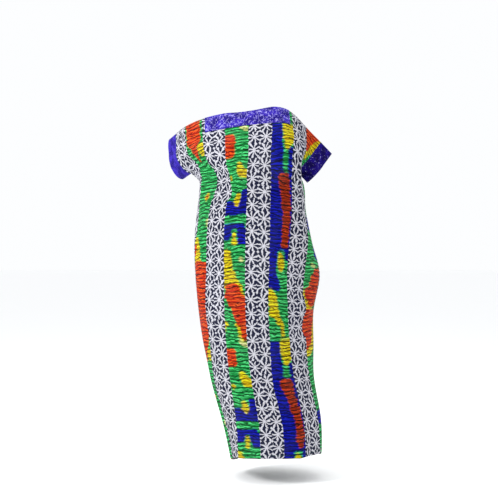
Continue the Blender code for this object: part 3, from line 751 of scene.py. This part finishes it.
class Dye:
    """Lays the nodes of one material, each step reading those before it."""

    def __init__(self, name):
        self.material = bpy.data.materials.new(name)
        self.material.use_nodes = True
        self.tree = self.material.node_tree
        self.shader = self.tree.nodes["Principled BSDF"]

    def feed(self, socket, source):
        """Links a socket to an output, or sets its value."""
        if isinstance(source, bpy.types.NodeSocket):
            self.tree.links.new(source, socket)
        else:
            socket.default_value = source

    def add(self, kind, inputs, **settings):
        """A node with its settings and its inputs, given by name or place."""
        node = self.tree.nodes.new(kind)
        for key, value in settings.items():
            setattr(node, key, value)
        for key, source in inputs.items():
            self.feed(node.inputs[key], source)
        return node

    def math(self, operation, *values):
        """One Math node's result."""
        return self.add("ShaderNodeMath", dict(enumerate(values)), operation=operation).outputs[0]

    def rise(self, value, low, high):
        """0 below low, 1 above high, and a smooth rise between."""
        inputs = {"Value": value, "From Min": low, "From Max": high}
        return self.add("ShaderNodeMapRange", inputs, interpolation_type="SMOOTHSTEP").outputs[0]

    def mix(self, share, low, high, blend="MIX"):
        """Two colours mixed by a share."""
        node = self.add("ShaderNodeMix", {0: share, 6: low, 7: high}, data_type="RGBA", blend_type=blend)
        return node.outputs[2]

    def place(self, x, y, z=0.0):
        """A vector from three numbers."""
        return self.add("ShaderNodeCombineXYZ", {0: x, 1: y, 2: z}).outputs[0]

    def chance(self, x, y):
        """A random number from 0 to 1 for each pair of whole numbers."""
        inputs = {"Vector": self.place(x, y)}
        return self.add("ShaderNodeTexWhiteNoise", inputs, noise_dimensions="3D").outputs[0]

    def noise(self, vector, scale, detail=2.0, roughness=0.5):
        """A noise from 0 to 1, most of it near a half."""
        inputs = {"Vector": vector, "Scale": scale, "Detail": detail, "Roughness": roughness}
        return self.add("ShaderNodeTexNoise", inputs).outputs[0]

    def read_cut(self):
        """Reads the cut's own u and v."""
        self.uv = self.add("ShaderNodeUVMap", {}, uv_map="cut").outputs[0]
        self.u, self.v = self.add("ShaderNodeSeparateXYZ", {0: self.uv}).outputs[:2]

    def blots(self, spread):
        """A noise over the cut whose blots are so wide and so tall; each layer is another noise."""
        across = self.math("DIVIDE", self.u, spread.wide)
        down = self.math("DIVIDE", self.v, spread.tall)
        return self.noise(self.place(across, down, spread.layer), 1.0, spread.detail)

    def wobble(self, value, noise, reach):
        """A value pushed up to half of reach either way by a noise."""
        return self.math("MULTIPLY_ADD", self.math("SUBTRACT", noise, 0.5), reach, value)

    def sway(self, value, spread):
        """A value pushed by blots of its own, up to half of their reach either way."""
        return self.wobble(value, self.blots(spread), spread.reach)

    def off_middle(self, count):
        """How far a count is from the middle between two whole numbers, at most a half."""
        return self.math("ABSOLUTE", self.math("SUBTRACT", self.math("FRACT", count), 0.5))

    def mark(self, name):
        """A number that the mesh carries."""
        return self.add("ShaderNodeAttribute", {}, attribute_name=name).outputs["Fac"]

    def ramp(self, value, stops):
        """A grey curve through stops of place and height."""
        node = self.add("ShaderNodeValToRGB", {0: value})
        elements = node.color_ramp.elements
        while len(elements) < len(stops):
            elements.new(0.5)
        for element, (at, height) in zip(elements, stops):
            element.position = at
            element.color = (height, height, height, 1.0)
        return node.outputs[0]

    def bump(self, height, strength, distance):
        """Raises the surface's shading by a height."""
        inputs = {"Strength": strength, "Distance": distance, "Height": height}
        self.feed(self.shader.inputs["Normal"], self.add("ShaderNodeBump", inputs).outputs[0])

    def weave(self, crumple, relief):
        """Plain weave and soft crumpling: two crossed waves, one thread each way, over a noise."""
        waves = (self.math("MULTIPLY", place, math.pi / THREAD_SPACE) for place in (self.u, self.v))
        threads = self.math("MULTIPLY", *(self.math("SINE", wave) for wave in waves))
        crumpled = self.noise(self.uv, *crumple)
        self.bump(self.math("MULTIPLY_ADD", threads, THREAD_HEIGHT, crumpled), 1.0, relief)

    def finish(self, colour, finish):
        """Feeds the shader its colour and its finish."""
        for key, source in {"Base Color": colour, **finish}.items():
            self.feed(self.shader.inputs[key], source)
        return self.material


def star_cloth(dye, colours):
    """White stars on near black: in each cell, dark darts point at a pale middle between petals.

    A dart is where the angle from its own line, as a share of half the angle between
    two lines, is under the dart's share at that reach from the middle. Where four
    cells meet lies a small white spot.
    """
    across = dye.math("DIVIDE", dye.sway(dye.u, STAR_ACROSS), STAR_WIDTH)
    down = dye.math("DIVIDE", dye.sway(dye.v, STAR_DOWN), STAR_HEIGHT)
    chance = dye.chance(dye.math("FLOOR", across), dye.math("FLOOR", down))
    p, q = (dye.math("SUBTRACT", dye.math("FRACT", count), 0.5) for count in (across, down))
    reach_p, reach_q = (dye.math("MULTIPLY", dye.math("ABSOLUTE", offset), 2.0) for offset in (p, q))
    reach = dye.math("MAXIMUM", reach_p, reach_q)
    x, y = dye.math("MULTIPLY", p, STAR_WIDTH), dye.math("MULTIPLY", q, STAR_HEIGHT)
    angle = dye.wobble(dye.math("ARCTAN2", y, x), chance, STAR_TURN)
    angle = dye.sway(angle, STAR_CROOKED)
    rays = dye.math("MULTIPLY_ADD", angle, STAR_RAYS / (2 * math.pi), STAR_RAYS + FIRST_DART)
    aside = dye.math("MULTIPLY", dye.off_middle(rays), 2.0)
    dart = dye.sway(dye.ramp(reach, DART_SHARES), DART_RAGGED)
    dark = dye.rise(dye.math("SUBTRACT", dart, aside), -DART_SOFT, DART_SOFT)
    corner = dye.math("SUBTRACT", 2.0, dye.math("ADD", reach_p, reach_q))
    spot = dye.rise(corner, *CORNER_SPOT)
    dark = dye.math("MULTIPLY", dark, dye.math("SUBTRACT", 1.0, spot))
    pale = dye.mix(dye.blots(STAR_SHADE), colours.white_shade, colours.white)
    return dye.mix(dark, pale, colours.night)


def streak_cloth(dye, colours):
    """A coloured stripe: charted patches on green, crossed by thin dark wavy lines.

    A line runs where the distance down the cut over the pitch, swayed by a wide low
    noise, is a whole number. It swells and breaks with a streaky noise, and the cloth
    is lighter between two lines. There each patch puts out a tongue of its own length.
    """
    streaks, ragged, drift = dye.blots(STREAKS), dye.blots(RAGGED), dye.blots(DRIFT)
    darkness, lift, tongue = 0.0, streaks, 0.0
    for crinkle in CRINKLES:
        turns = dye.sway(dye.math("DIVIDE", dye.v, crinkle.pitch), crinkle.sway)
        off_line = dye.off_middle(turns)
        near = dye.wobble(dye.math("MULTIPLY", off_line, 2.0), streaks, crinkle.swell)
        line = dye.math("MULTIPLY", dye.rise(near, crinkle.thin, crinkle.thick), crinkle.depth)
        darkness = dye.math("MAXIMUM", darkness, line)
        lift = dye.math("MULTIPLY_ADD", off_line, -crinkle.light, lift)
        tongue = dye.math("MULTIPLY_ADD", off_line, -crinkle.tongue, tongue)
        chance = dye.chance(dye.math("FLOOR", turns), 0.0)
        tongue = dye.wobble(tongue, chance, crinkle.tongue)
    lift = dye.rise(lift, *STREAK_LIFT)
    tongue = dye.math("ADD", tongue, TONGUE_MIDDLE)
    colour = dye.mix(lift, colours.green_shade, colours.green)
    for name, blur in PATCH_BLURS:
        light, shade = getattr(colours, name), getattr(colours, name + "_shade")
        edge = dye.wobble(dye.mark(name), ragged, RAGGED.reach)
        edge = dye.math("ADD", dye.wobble(edge, drift, DRIFT.reach), tongue)
        colour = dye.mix(dye.rise(edge, -blur, blur), colour, dye.mix(lift, shade, light))
    dark = dye.mix(1.0, colour, colours.line, blend="MULTIPLY")
    return dye.mix(darkness, colour, dark)


def wax_print(colours):
    """The striped wax print: star stripes and coloured stripes in turn, duller on the reverse."""
    dye = Dye("wax print")
    dye.read_cut()
    counted = dye.math("ADD", dye.sway(dye.u, STRIPE_EDGE), PANEL_HALF)
    counted = dye.math("FRACT", dye.math("DIVIDE", counted, 2 * STRIPE))
    share = dye.math("ABSOLUTE", dye.math("SUBTRACT", counted, COLOURED_MIDDLE))
    share = dye.math("MINIMUM", share, dye.math("SUBTRACT", 1.0, share))
    coloured = dye.rise(share, *COLOURED_EDGE)
    colour = dye.mix(coloured, star_cloth(dye, colours), streak_cloth(dye, colours))
    worn = dye.rise(dye.blots(WEAR), *WORN)
    colour = dye.mix(dye.math("MULTIPLY", worn, WORN_TINT), colour, colours.reverse)
    reverse = dye.math("MULTIPLY", dye.mark("inside"), REVERSE_TINT)
    colour = dye.mix(reverse, colour, colours.reverse)
    dye.weave(WAX_CRUMPLE, WAX_RELIEF)
    return dye.finish(colour, WAX_FINISH)


def band_print(name, ground, ground_shade, fleck, cover):
    """The neck and cuff cloth: small crooked pale flecks on mottled violet blue.

    A fleck lies where a noise is near its middle value, within the share that cover
    gives, and a second, coarser noise breaks these crooked lines into pieces.
    """
    dye = Dye(name)
    dye.read_cut()
    crooked = dye.math("ABSOLUTE", dye.math("SUBTRACT", dye.blots(FLECK_LINES), 0.5))
    spot = dye.rise(dye.math("SUBTRACT", dye.sway(cover, FLECK_BREAKS), crooked), *FLECK_EDGE)
    patchy = dye.rise(dye.blots(MOTTLE), *MOTTLE_EDGE)
    colour = dye.mix(patchy, ground_shade, ground)
    strength = dye.math("MULTIPLY_ADD", patchy, FLECK_MORE, FLECK_STRENGTH)
    colour = dye.mix(dye.math("MULTIPLY", spot, strength), colour, fleck)
    dye.weave(BAND_CRUMPLE, BAND_RELIEF)
    return dye.finish(colour, BAND_FINISH)


def thread_look(name, colour):
    """Matt sewing thread with a fine twist across it."""
    dye = Dye(name)
    where = dye.add("ShaderNodeTexCoord", {}).outputs["Object"]
    twist = dye.noise(where, TWIST_SCALE)
    dye.bump(twist, TWIST_STRENGTH, TWIST_RELIEF)
    shade = (*(TWIST_SHADE * part for part in colour[:3]), 1.0)
    return dye.finish(dye.mix(twist, colour, shade), THREAD_FINISH)


def colour_property(name, description, default):
    """A colour that the panel shows."""
    default = (*default, 1.0)
    return FloatVectorProperty(
        name=name, description=description, default=default, subtype="COLOR", size=4, min=0.0, max=1.0
    )


def length_property(name, description, default):
    """A length that the panel shows."""
    return FloatProperty(name=name, description=description, default=default, unit="LENGTH", min=0.0)


class KaftanCloth(bpy.types.PropertyGroup):
    """Sizes of the cloth and its mesh."""

    wall: length_property("Cloth", "How thick the cloth is", 0.0007)
    hem_depth: length_property("Hem", "How deep the hem is turned up", 0.018)
    hem_wall: length_property("Hem wall", "How much thicker the turned hem is", 0.0011)
    cell: length_property("Cell", "Size of the panels' mesh cells", 0.005)
    seam_gap: length_property("Seam gap", "How far apart sewn edges lie", 0.0001)


class KaftanTrim(bpy.types.PropertyGroup):
    """Sizes of the neck band, the cuffs and the sewing."""

    wall: length_property("Trim cloth", "How thick the band and cuff cloth is", 0.0012)
    lift: length_property("Lift", "How far the neck band lies above the panel", 0.0003)
    cell: length_property("Cell", "Size of the trim's mesh cells", 0.0035)
    stitch: length_property("Stitch", "Length of one stitch", 0.0030)
    stitch_gap: length_property("Stitch gap", "Space between two stitches", 0.0009)
    thread: length_property("Thread", "Thickness of the sewing thread", 0.0005)
    inset: length_property("Inset", "How far the stitching lies from an edge", 0.0035)
    sides: IntProperty(name="Thread sides", description="Sides of a stitch's section", default=6, min=4)


class KaftanColours(bpy.types.PropertyGroup):
    """Colours of the print, the trim and the thread."""

    white: colour_property("White", "Petals of the stars", (0.62, 0.615, 0.655))
    white_shade: colour_property("White shade", "Duller parts of the petals", (0.44, 0.44, 0.5))
    night: colour_property("Night", "Ground of the stars", (0.010, 0.012, 0.032))
    green: colour_property("Green", "Lighter green", (0.068, 0.60, 0.175))
    green_shade: colour_property("Green shade", "Deeper green", (0.003, 0.17, 0.030))
    yellow: colour_property("Yellow", "Lighter yellow", (0.71, 0.67, 0.012))
    yellow_shade: colour_property("Yellow shade", "Deeper yellow", (0.44, 0.29, 0.003))
    orange: colour_property("Orange", "Lighter orange-red", (0.7, 0.095, 0.01))
    orange_shade: colour_property("Orange shade", "Deeper orange-red", (0.42, 0.014, 0.003))
    rust: colour_property("Rust", "Lighter brown-orange", (0.5, 0.044, 0.006))
    rust_shade: colour_property("Rust shade", "Deeper brown-orange", (0.18, 0.012, 0.002))
    blue: colour_property("Blue", "Lighter blue", (0.004, 0.009, 0.42))
    blue_shade: colour_property("Blue shade", "Deeper blue", (0.001, 0.003, 0.15))
    cream: colour_property("Cream", "Pale patches", (0.70, 0.68, 0.34))
    cream_shade: colour_property("Cream shade", "Duller parts of the pale patches", (0.40, 0.46, 0.12))
    line: colour_property("Line", "How much of each colour the thin lines keep", (0.05, 0.07, 0.10))
    reverse: colour_property("Reverse", "Tint of the cloth's inside and of wear", (0.34, 0.36, 0.38))
    band: colour_property("Band", "Ground of the neck band", (0.034, 0.017, 0.34))
    band_shade: colour_property("Band shade", "Deeper parts of the neck band", (0.011, 0.005, 0.155))
    # Painted shade: the right cuff's ground and its deeper tone are the band's violet, darkened for the
    # shade that cuff hangs in
    cuff: colour_property("Cuff", "Ground of the right cuff", (0.01, 0.003, 0.16))
    shaded_cuff_deeper: colour_property("Cuff shade", "Deeper parts of the right cuff", (0.004, 0.001, 0.065))
    fleck: colour_property("Fleck", "Flecks of the neck band and right cuff", (0.36, 0.33, 0.72))
    faint_fleck: colour_property("Faint fleck", "Flecks of the left cuff", (0.052, 0.038, 0.36))
    thread: colour_property("Thread", "Thread of the trim", (0.07, 0.045, 0.42))
    hem_thread: colour_property("Hem thread", "Thread of the hem", (0.03, 0.20, 0.07))


class KaftanStage(bpy.types.PropertyGroup):
    """The floor, the camera and the lights."""

    floor_drop: length_property("Floor drop", "How far the floor lies below the hem", 0.050)
    floor_half: length_property("Floor", "Half the floor's width", 40.0)
    floor: colour_property("Floor colour", "Colour of the floor", (0.975, 0.98, 0.985))
    sky: colour_property("Sky", "Colour of the light all round", (0.98, 0.99, 1.0))
    sky_strength: FloatProperty(
        name="Sky strength", description="Strength of that light", default=1.0, min=0.0
    )
    distance: length_property("Distance", "From the camera to the middle of the garment", 4.2)
    height: FloatProperty(name="Height", description="Height of the camera", default=-0.556, unit="LENGTH")
    lens: FloatProperty(name="Lens", description="Focal length in mm", default=75.9, min=1.0)
    power: FloatProperty(name="Power", description="Strength of the main light", default=105.0, min=0.0)


class KaftanSettings(bpy.types.PropertyGroup):
    """Everything that the panel shows."""

    cloth: PointerProperty(type=KaftanCloth)
    trim: PointerProperty(type=KaftanTrim)
    colours: PointerProperty(type=KaftanColours)
    stage: PointerProperty(type=KaftanStage)


class KAFTAN_OT_panels(bpy.types.Operator):
    """Makes the back and the front, each a thin wall of wax print with a turned hem"""

    bl_idname = "kaftan.panels"
    bl_label = "Back and front"

    def execute(self, context):
        settings = context.scene.kaftan
        look = wax_print(settings.colours)
        for name, side, neck_drop, band_drop in SIDES:
            u, v, _ = panel_places(neck_drop, band_drop, settings.cloth.cell)
            points, normals = panel_faces(u, v, side, settings.cloth.seam_gap)
            hem = smooth_step((v - PANEL_LENGTH + settings.cloth.hem_depth) / settings.cloth.cell)
            wall = settings.cloth.wall + settings.cloth.hem_wall * hem
            across = side * u + (drawn_aside(u, v) if side > 0 else 0.0)
            cut = np.stack([across, v], axis=-1)
            marks = {colour: patch_depth(colour, across, v) for colour, _ in PATCH_BLURS}
            inner = points - wall[..., None] * normals
            piece = wall_piece(name + "_panel_cloth", points, inner, cut, look, marks, turned=side < 0)
            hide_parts(name + "_panel")
        return {"FINISHED"}


class KAFTAN_OT_neck_bands(bpy.types.Operator):
    """Makes both halves of the neck band from the panels' own points, moved out"""

    bl_idname = "kaftan.neck_bands"
    bl_label = "Neck band"

    def execute(self, context):
        settings = context.scene.kaftan
        colours, trim = settings.colours, settings.trim
        look = band_print("band print", colours.band, colours.band_shade, colours.fleck, NECK_FLECKS)
        for name, side, neck_drop, band_drop in SIDES:
            u, v, band_rows = panel_places(neck_drop, band_drop, trim.cell)
            under = np.abs(u[0]) < BAND_HALF + SLOPE_STEP
            u, v = u[:band_rows, under], v[:band_rows, under]
            points, normals = cloth(u, side * v), outward(cloth, u, side * v)
            open_shoulder(points, u, settings.cloth.seam_gap)
            inner = points + trim.lift * normals
            outer = points + (trim.lift + trim.wall) * normals
            cut = np.stack([side * u, v], axis=-1)
            piece = wall_piece("neck_band_" + name + "_cloth", outer, inner, cut, look, {}, turned=side < 0)
            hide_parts("neck_band_" + name)
        return {"FINISHED"}


def cuff_ring(hand, v, reach):
    """A cuff's outer points and outward directions, round the armhole and out along the sleeve.

    The armhole's own points are carried along the sleeve, and soft dents, each its
    depth times a bell along the armhole, deepen towards the cuff's edge.
    """
    out = np.repeat(tube_outward(hand, v)[:, None], len(reach), axis=1)
    out[:, 0] = edge_outward(hand, v)
    depth = np.zeros(len(v))
    for dent in CUFF_DENTS:
        depth += dent.depth * np.exp(-((v - hand * dent.v) ** 2) / dent.width**2)
    lift = -depth[:, None] * smooth_step(reach / CUFF_DEPTH)[None, :]
    points = armhole_point(hand, v)[:, None] + reach[None, :, None] * SLEEVES[hand]
    return points + lift[..., None] * out, out


class KAFTAN_OT_cuffs(bpy.types.Operator):
    """Makes the two cuffs, a tube of cloth carried out from each armhole"""

    bl_idname = "kaftan.cuffs"
    bl_label = "Cuffs"

    def execute(self, context):
        settings = context.scene.kaftan
        colours, trim = settings.colours, settings.trim
        left = (colours.band, colours.band_shade, colours.faint_fleck, LEFT_FLECKS)
        # Painted shade: the right cuff gets the band's ground darkened for shade in place of the band's
        # own; its flecks keep the band's colour
        right = (colours.cuff, colours.shaded_cuff_deeper, colours.fleck, RIGHT_FLECKS)
        looks = {1: band_print("left cuff print", *left), -1: band_print("right cuff print", *right)}
        v = cells(-ARMHOLE, ARMHOLE, trim.cell)
        reach = cells(settings.cloth.seam_gap, CUFF_DEPTH, trim.cell)
        cut = np.stack(np.meshgrid(v, reach, indexing="ij"), axis=-1)
        for name, hand in HANDS:
            outer, out = cuff_ring(hand, v[:-1], reach)
            inner = outer - trim.wall * out
            if hand < 0:
                outer, inner = outer[:, ::-1], inner[:, ::-1]
            piece = wall_piece("cuff_" + name + "_cloth", outer, inner, cut, looks[hand], {}, ring=True)
            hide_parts("cuff_" + name)
        return {"FINISHED"}


def stitch_line(points, normals, trim):
    """Stitches along a path, each a short tube of a few rings of points.

    The path is walked by its own length, one stitch and one gap at a time. A stitch's
    radius, and its height over the cloth, go by the root of a half sine of its length.
    """
    walked = np.concatenate([[0.0], np.cumsum(np.linalg.norm(np.diff(points, axis=0), axis=1))])
    pitch = trim.stitch + trim.stitch_gap
    starts = np.arange(trim.stitch_gap, walked[-1] - pitch, pitch)
    along = np.linspace(0.0, 1.0, STITCH_RINGS)
    places = starts[:, None] + along * trim.stitch
    middle, up, ahead = (
        np.stack([np.interp(places, walked, line[:, axis]) for axis in range(3)], axis=-1)
        for line in (points, normals, unit(np.gradient(points, axis=0)))
    )
    up = unit(up)
    side = unit(np.cross(ahead, up))
    half = trim.thread / 2
    swell = np.sqrt(np.sin(math.pi * np.clip(along, STITCH_END, 1.0 - STITCH_END)))[:, None]
    middle = middle + half * swell * up
    turn = np.linspace(0.0, 2 * math.pi, trim.sides, endpoint=False)[:, None]
    ring = half * (np.cos(turn) * side[..., None, :] + np.sin(turn) * up[..., None, :])
    return middle[..., None, :] + ring * swell[:, None]


def stitch_piece(name, lines, look):
    """All the stitches of some seams as one mesh: tubes with closed ends."""
    tubes = np.concatenate(lines)
    count, rings, sides = tubes.shape[:3]
    index = np.arange(count * rings * sides).reshape(count, rings, sides)
    here, ahead = index[:, :-1], index[:, 1:]
    quads = np.stack([here, np.roll(here, -1, axis=2), np.roll(ahead, -1, axis=2), ahead], axis=-1)
    faces = quads.reshape(-1, 4).tolist() + index[:, 0, ::-1].tolist() + index[:, -1].tolist()
    mesh = bpy.data.meshes.new(name)
    mesh.from_pydata(tubes.reshape(-1, 3).tolist(), [], faces)
    mesh.update()
    mesh.shade_smooth()
    mesh.materials.append(look)
    return make_piece(name, mesh)


def path_on_cloth(u, v, lift):
    """Points and outward directions of a path over the panels, lifted off the cloth."""
    normals = outward(cloth, u, v)
    return cloth(u, v) + lift * normals, normals


class KAFTAN_OT_sewing(bpy.types.Operator):
    """Sews the hem, the neck band and the cuffs with rows of stitches"""

    bl_idname = "kaftan.sewing"
    bl_label = "Sewing"

    def execute(self, context):
        settings = context.scene.kaftan
        trim = settings.trim
        on_band = trim.lift + trim.wall
        look = thread_look("band thread", settings.colours.thread)
        hem_look = thread_look("hem thread", settings.colours.hem_thread)
        hem_lines, band_lines, cuff_lines = [], [], []
        step = trim.stitch / 3
        for _, side, neck_drop, band_drop in SIDES:
            u = cells(-PANEL_HALF + trim.inset, PANEL_HALF - trim.inset, step)
            v = np.full_like(u, side * (PANEL_LENGTH - settings.cloth.hem_depth + trim.inset))
            hem_lines.append(stitch_line(*path_on_cloth(u, v, 0.0), trim))
            edge, low = BAND_HALF - trim.inset, band_drop - trim.inset
            down = cells(trim.inset, low, step)
            for hand in (1, -1):
                path = path_on_cloth(np.full_like(down, hand * edge), side * down, on_band)
                band_lines.append(stitch_line(*path, trim))
            across = cells(-edge, edge, step)
            path = path_on_cloth(across, np.full_like(across, side * low), on_band)
            band_lines.append(stitch_line(*path, trim))
            u = cells(-NECK_HALF, NECK_HALF, step / 2)
            neck = neck_line(u, neck_drop)
            grade = np.gradient(neck, u)
            lean = np.sqrt(1.0 + grade**2)
            around_u = u - trim.inset * grade / lean
            around_v = neck + trim.inset / lean
            clear = around_v > trim.inset / 2
            path = path_on_cloth(around_u[clear], side * around_v[clear], on_band)
            band_lines.append(stitch_line(*path, trim))
        v = cells(-ARMHOLE, ARMHOLE, step)
        reach = np.array([0.0, trim.inset, CUFF_DEPTH - trim.inset * 2])
        for _, hand in HANDS:
            points, out = cuff_ring(hand, v, reach)
            for row in (1, 2):
                cuff_lines.append(stitch_line(points[:, row], out[:, row], trim))
        hem = stitch_piece("hem_stitching", hem_lines, hem_look)
        band = stitch_piece("neck_band_stitching", band_lines, look)
        cuffs = stitch_piece("cuff_stitching", cuff_lines, look)
        return {"FINISHED"}


class KAFTAN_OT_sheets(bpy.types.Operator):
    """Does nothing: it only stands in the panel's list of makers"""

    bl_idname = "kaftan.sheets"
    bl_label = "Flat cuts"

    def execute(self, context):
        return {"FINISHED"}


def soft_light(name, place, aim, size, power):
    """A square area light, turned towards a point."""
    data = bpy.data.lights.new(name, "AREA")
    data.energy = power
    data.size = size
    light = bpy.data.objects.new(name, data)
    bpy.context.scene.collection.objects.link(light)
    direction = np.array(aim) - np.array(place)
    light.location = place
    light.rotation_euler = (
        math.atan2(math.hypot(direction[0], direction[1]), -direction[2]),
        0.0,
        math.atan2(direction[1], direction[0]) - math.pi / 2,
    )


class KAFTAN_OT_stage(bpy.types.Operator):
    """Makes the pale floor, the soft lights and the camera"""

    bl_idname = "kaftan.stage"
    bl_label = "Stage"

    def execute(self, context):
        stage = context.scene.kaftan.stage
        level = CAD_LOW.z - stage.floor_drop
        half = stage.floor_half
        corners = [(-half, -half, level), (half, -half, level), (half, half, level), (-half, half, level)]
        mesh = bpy.data.meshes.new("floor")
        mesh.from_pydata(corners, [], [(0, 1, 2, 3)])
        mesh.materials.append(Dye("floor").finish(stage.floor, FLOOR_FINISH))
        floor = bpy.data.objects.new("floor", mesh)
        context.scene.collection.objects.link(floor)
        world = bpy.data.worlds.new("studio")
        world.use_nodes = True
        sky = world.node_tree.nodes["Background"]
        sky.inputs["Color"].default_value = stage.sky
        sky.inputs["Strength"].default_value = stage.sky_strength
        context.scene.world = world
        context.scene.view_settings.view_transform = "Standard"
        aim = (0.0, 0.0, stage.height)
        for name, (place, size, share) in LIGHTS.items():
            soft_light(name, place, aim, size, stage.power * share)
        data = bpy.data.cameras.new("camera")
        data.sensor_width = SENSOR
        data.lens = stage.lens
        data.dof.use_dof = False
        camera = bpy.data.objects.new("camera", data)
        camera.location = (0.0, stage.distance, stage.height)
        camera.rotation_euler = (math.radians(90), 0.0, math.radians(180))
        context.scene.collection.objects.link(camera)
        context.scene.camera = camera
        return {"FINISHED"}


class KAFTAN_PT_sidebar(bpy.types.Panel):
    """Lists the garment's pieces and their settings"""

    bl_idname = "KAFTAN_PT_sidebar"
    bl_label = "Kaftan"
    bl_space_type = "VIEW_3D"
    bl_region_type = "UI"
    bl_category = "Kaftan"

    def draw(self, context):
        settings = context.scene.kaftan
        for group in (settings.cloth, settings.trim, settings.colours, settings.stage):
            box = self.layout.box()
            for name in group.bl_rna.properties.keys():
                if name not in ("rna_type", "name"):
                    box.prop(group, name)
        for maker in MAKERS:
            self.layout.operator(maker.bl_idname)


# Every operator, as the panel lists them
MAKERS = (
    KAFTAN_OT_stage,
    KAFTAN_OT_panels,
    KAFTAN_OT_neck_bands,
    KAFTAN_OT_cuffs,
    KAFTAN_OT_sewing,
    KAFTAN_OT_sheets,
)
GROUPS = (KaftanCloth, KaftanTrim, KaftanColours, KaftanStage, KaftanSettings)


def register():
    for group in GROUPS + MAKERS + (KAFTAN_PT_sidebar,):
        bpy.utils.register_class(group)
    bpy.types.Scene.kaftan = PointerProperty(type=KaftanSettings)


def unregister():
    del bpy.types.Scene.kaftan
    for group in reversed(GROUPS + MAKERS + (KAFTAN_PT_sidebar,)):
        bpy.utils.unregister_class(group)


def main():
    register()
    bpy.ops.kaftan.stage()
    bpy.ops.kaftan.panels()
    bpy.ops.kaftan.neck_bands()
    bpy.ops.kaftan.cuffs()
    bpy.ops.kaftan.sewing()
    bpy.ops.kaftan.sheets()


if __name__ == "__main__":
    main()
